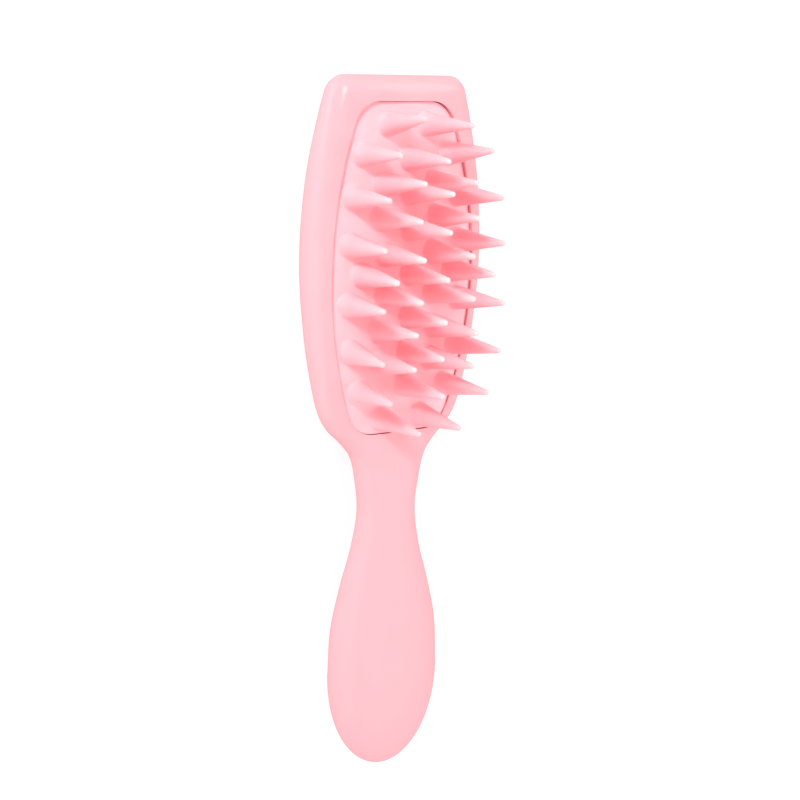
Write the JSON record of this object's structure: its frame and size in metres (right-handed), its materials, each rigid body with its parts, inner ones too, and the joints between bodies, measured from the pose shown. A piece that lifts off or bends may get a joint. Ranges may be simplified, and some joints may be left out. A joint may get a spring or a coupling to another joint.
{
  "type": "scalp massager brush",
  "caption": "Hand-held scalp massager brush: a one-piece moulded grip and flat head holding a domed silicone pad of cone teeth.",
  "frame": {"origin": "middle of the length and width, on the plane the brush's back rests on", "axes": "+Y along the brush from the grip to the head, +Z out of the teeth, +X across the brush"},
  "size_m": [0.0688, 0.22, 0.0386],
  "materials": {
    "moulded_abs": "smooth satin gloss, pale pink",
    "plate_plastic": "fine matt, pale pink",
    "silicone": "soft satin, slightly translucent pink"
  },
  "bodies": {
    "handle": {"handle_body": "moulded_abs"},
    "pad": {"carrier_plate": "plate_plastic", "silicone_pad": "silicone", "teeth_left_outer": "silicone", "teeth_left_inner": "silicone", "teeth_centre": "silicone", "teeth_right_inner": "silicone", "teeth_right_outer": "silicone"}
  },
  "joints": [
    {"name": "pad_release", "type": "slide", "parent": "handle", "child": "pad", "axis": [0, 0, 1], "range_m": [0, 0.03]}
  ]
}
